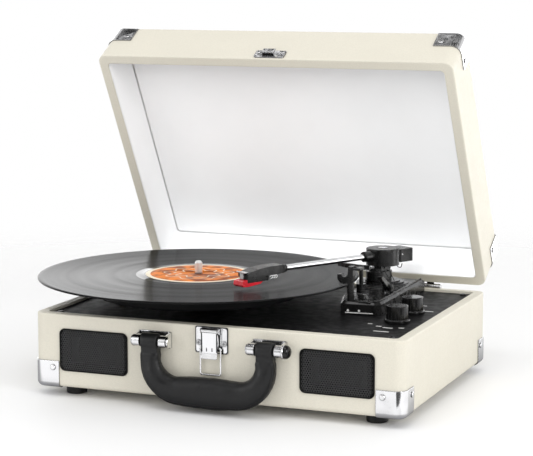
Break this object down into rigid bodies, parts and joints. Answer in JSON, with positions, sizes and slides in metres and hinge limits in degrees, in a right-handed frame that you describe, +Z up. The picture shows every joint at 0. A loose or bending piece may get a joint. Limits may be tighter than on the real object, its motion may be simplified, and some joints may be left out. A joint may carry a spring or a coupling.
{
  "type": "suitcase record player",
  "caption": "Portable record player in a hinged suitcase, with belt-driven platter, pivoting tonearm, front speakers, control knobs, draw latch and carrying handle.",
  "frame": {"origin": "on the table under the middle of the open player, from the front of the handle to the back of the lid", "axes": "+X to the listener's right, -Y the front with the speakers and the handle, +Z up"},
  "size_m": [0.3564, 0.3201, 0.3272],
  "materials": {
    "case_cover": "fine grained covering",
    "lid_lining": "smooth satin lining",
    "chrome": "polished",
    "steel": "zinc plated",
    "rubber": "matt",
    "deck_black": "satin",
    "arm_black": "satin moulded",
    "knob_black": "glossy",
    "grille_black": "satin",
    "cone_paper": "pressed",
    "magnet": "ferrite",
    "handle_pad": "padded, matt",
    "arm_tube": "polished",
    "stylus_red": "moulded",
    "board_green": "solder mask",
    "brass": "turned"
  },
  "bodies": {
    "base": {"base_case": "case_cover", "base_corner_guards": "chrome", "base_guard_rivets": "chrome", "rubber_feet": "rubber", "foot_screws": "steel", "deck_plate": "deck_black", "deck_screws": "steel", "left_speaker_grille": "grille_black", "right_speaker_grille": "grille_black", "speaker_baskets": "grille_black", "speaker_cones": "cone_paper", "speaker_magnets": "magnet", "speaker_screws": "steel", "latch_plate": "chrome", "latch_screws": "chrome", "handle_brackets": "chrome", "handle_pins": "chrome", "handle_pin_cap": "knob_black", "hinge_base_leaves": "chrome", "hinge_base_screws": "chrome", "hinge_pins": "chrome", "jack_plate": "deck_black", "line_out_jacks": "steel", "power_jack": "deck_black", "spindle_bearing": "brass", "motor": "steel", "drive_belt": "rubber", "arm_base": "arm_black", "arm_rest": "arm_black", "volume_pot": "steel", "function_switch": "steel", "main_board": "board_green"},
    "lid": {"lid_case": "case_cover", "lid_lining": "lid_lining", "lid_corner_guards": "chrome", "lid_guard_rivets": "chrome", "lid_catch": "chrome", "catch_screws": "chrome", "hinge_lid_leaves": "chrome", "hinge_lid_screws": "chrome"},
    "carry_handle": {"handle_grip": "handle_pad"},
    "latch_lever": {"latch_lever": "chrome"},
    "latch_loop": {"latch_loop": "chrome"},
    "platter": {"platter": "deck_black", "platter_mat": "rubber", "spindle": "chrome"},
    "motor_pulley": {"motor_pulley": "brass"},
    "arm_turret": {"arm_turret": "arm_black", "arm_pivot_pin": "steel"},
    "tonearm": {"arm_housing": "arm_black", "arm_tube": "arm_tube", "headshell": "arm_black", "cartridge": "arm_black", "stylus": "stylus_red"},
    "arm_clip": {"arm_clip": "arm_black"},
    "cue_lever": {"cue_lever": "arm_black"},
    "cue_lift": {"cue_lift": "arm_black"},
    "speed_lever": {"speed_lever": "arm_black"},
    "volume_knob": {"volume_knob": "knob_black"},
    "function_knob": {"function_knob": "knob_black"}
  },
  "joints": [
    {"name": "case_lid_hinge", "type": "hinge", "parent": "base", "child": "lid", "pos_m": [0, 0.11857, 0.0766], "axis": [-1, 0, 0], "range_deg": [-60, 35]},
    {"name": "carry_handle_swing", "type": "hinge", "parent": "base", "child": "carry_handle", "pos_m": [0, -0.15203, 0.061], "axis": [-1, 0, 0], "range_deg": [0, 120]},
    {"name": "draw_latch_lever", "type": "hinge", "parent": "base", "child": "latch_lever", "pos_m": [0, -0.14723, 0.073], "axis": [-1, 0, 0], "range_deg": [0, 120]},
    {"name": "draw_latch_loop", "type": "hinge", "parent": "latch_lever", "child": "latch_loop", "pos_m": [0, -0.14523, 0.05765], "axis": [1, 0, 0], "range_deg": [-180, 0]},
    {"name": "platter_spin", "type": "hinge", "parent": "base", "child": "platter", "pos_m": [-0.066, -0.02203, 0.09], "axis": [0, 0, 1], "continuous": true},
    {"name": "motor_pulley_spin", "type": "hinge", "parent": "base", "child": "motor_pulley", "pos_m": [-0.12498, -0.06333, 0.08], "axis": [0, 0, 1], "continuous": true},
    {"name": "arm_swing", "type": "hinge", "parent": "base", "child": "arm_turret", "pos_m": [0.086, 0.06997, 0.09], "axis": [0, 0, -1], "range_deg": [-27, 12]},
    {"name": "arm_lift", "type": "hinge", "parent": "arm_turret", "child": "tonearm", "pos_m": [0.086, 0.06997, 0.11], "axis": [-0.8829, 0.4695, 0], "range_deg": [-1.1, 15]},
    {"name": "arm_clip_fold", "type": "hinge", "parent": "base", "child": "arm_clip", "pos_m": [0.09042, -0.03212, 0.1162], "axis": [-0.0175, -0.9998, 0], "range_deg": [0, 180]},
    {"name": "cue_lever_turn", "type": "hinge", "parent": "base", "child": "cue_lever", "pos_m": [0.108, 0.01997, 0.091], "axis": [-1, 0, 0], "range_deg": [-28, 0]},
    {"name": "cue_lift_slide", "type": "slide", "parent": "base", "child": "cue_lift", "axis": [0, 0, 1], "range_m": [-0.004, 0]},
    {"name": "speed_lever_slide", "type": "slide", "parent": "base", "child": "speed_lever", "axis": [1, 0, 0], "range_m": [0, 0.011]},
    {"name": "volume_knob_turn", "type": "hinge", "parent": "base", "child": "volume_knob", "pos_m": [0.141, -0.00903, 0.08], "axis": [0, 0, -1], "range_deg": [-150, 150]},
    {"name": "function_knob_turn", "type": "hinge", "parent": "base", "child": "function_knob", "pos_m": [0.141, -0.05403, 0.08], "axis": [0, 0, -1], "range_deg": [-40, 40]}
  ],
  "couplings": [
    {"joint": "motor_pulley_spin", "follows": "platter_spin", "ratio": 13.444},
    {"joint": "cue_lift_slide", "follows": "cue_lever_turn", "m_per_rad": 0.008042}
  ]
}
